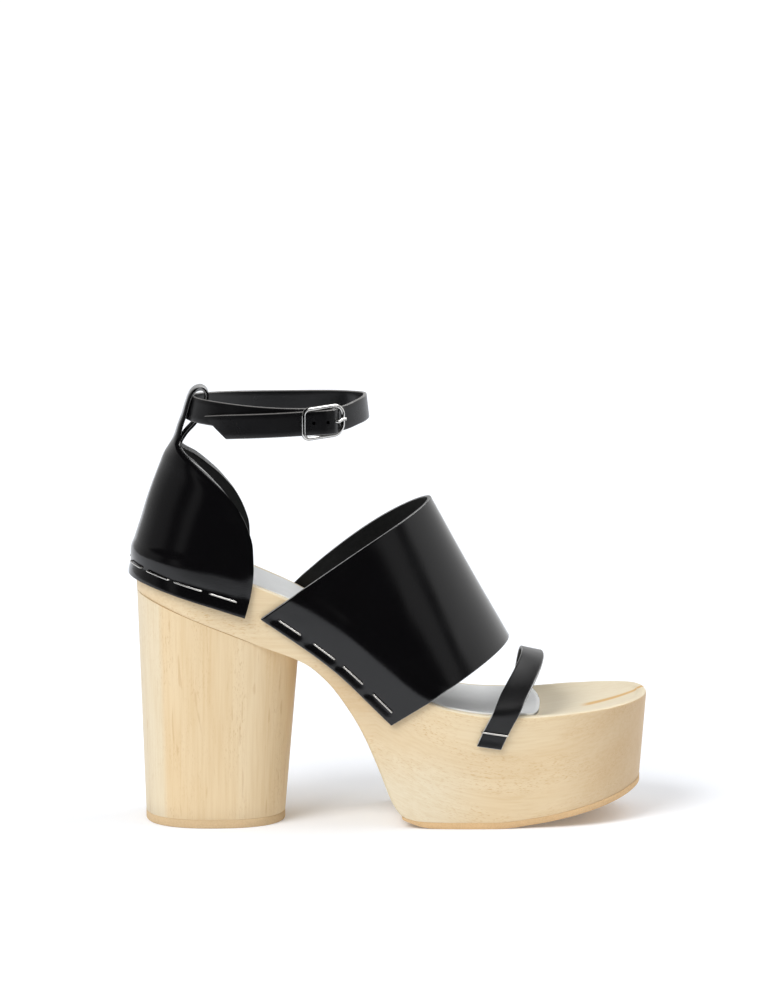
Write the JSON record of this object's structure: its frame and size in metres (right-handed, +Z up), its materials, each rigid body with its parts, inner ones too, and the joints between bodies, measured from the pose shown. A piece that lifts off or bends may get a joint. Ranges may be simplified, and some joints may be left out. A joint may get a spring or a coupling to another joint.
{
  "type": "block heel sandal",
  "caption": "Open-toe right sandal on a carved wooden platform with a tall wooden block heel, stapled black leather counter and bands, and a buckled ankle strap.",
  "frame": {"origin": "middle of the box's bottom face, on the floor the sandal stands on", "axes": "+X from heel to toe, +Y from the outer (lateral) side to the inner (medial) side, +Z up"},
  "size_m": [0.2402, 0.0944, 0.2019],
  "materials": {
    "pale_wood": "sanded smooth with a thin matt clear coat",
    "pale_heel_wood": "sanded smooth with a thin matt clear coat",
    "tan_lift_rubber": "matt moulded",
    "tan_outsole_rubber": "matt moulded",
    "pale_grey_sock": "matt, fine grain",
    "black_counter_leather": "smooth, polished",
    "black_vamp_leather": "smooth, polished",
    "black_toe_leather": "smooth, polished",
    "black_strap_leather": "smooth, polished",
    "polished_nickel": "polished",
    "prong_nickel": "polished",
    "staple_wire": "bright wire"
  },
  "bodies": {
    "root": {"platform_sole": "pale_wood", "heel_block": "pale_heel_wood", "heel_top_lift": "tan_lift_rubber", "forefoot_outsole": "tan_outsole_rubber", "insole": "pale_grey_sock", "heel_counter": "black_counter_leather", "vamp_strap": "black_vamp_leather", "toe_strap": "black_toe_leather", "ankle_strap": "black_strap_leather", "buckle_frame": "polished_nickel", "buckle_prong": "prong_nickel", "staple_counter_lateral_1": "staple_wire", "staple_counter_lateral_2": "staple_wire", "staple_counter_lateral_3": "staple_wire", "staple_counter_lateral_4": "staple_wire", "staple_counter_medial_1": "staple_wire", "staple_counter_medial_2": "staple_wire", "staple_counter_medial_3": "staple_wire", "staple_counter_medial_4": "staple_wire", "staple_vamp_lateral_1": "staple_wire", "staple_vamp_lateral_2": "staple_wire", "staple_vamp_lateral_3": "staple_wire", "staple_vamp_lateral_4": "staple_wire", "staple_vamp_medial_1": "staple_wire", "staple_vamp_medial_2": "staple_wire", "staple_vamp_medial_3": "staple_wire", "staple_vamp_medial_4": "staple_wire", "staple_toe_lateral": "staple_wire", "staple_toe_medial": "staple_wire"}
  },
  "joints": []
}
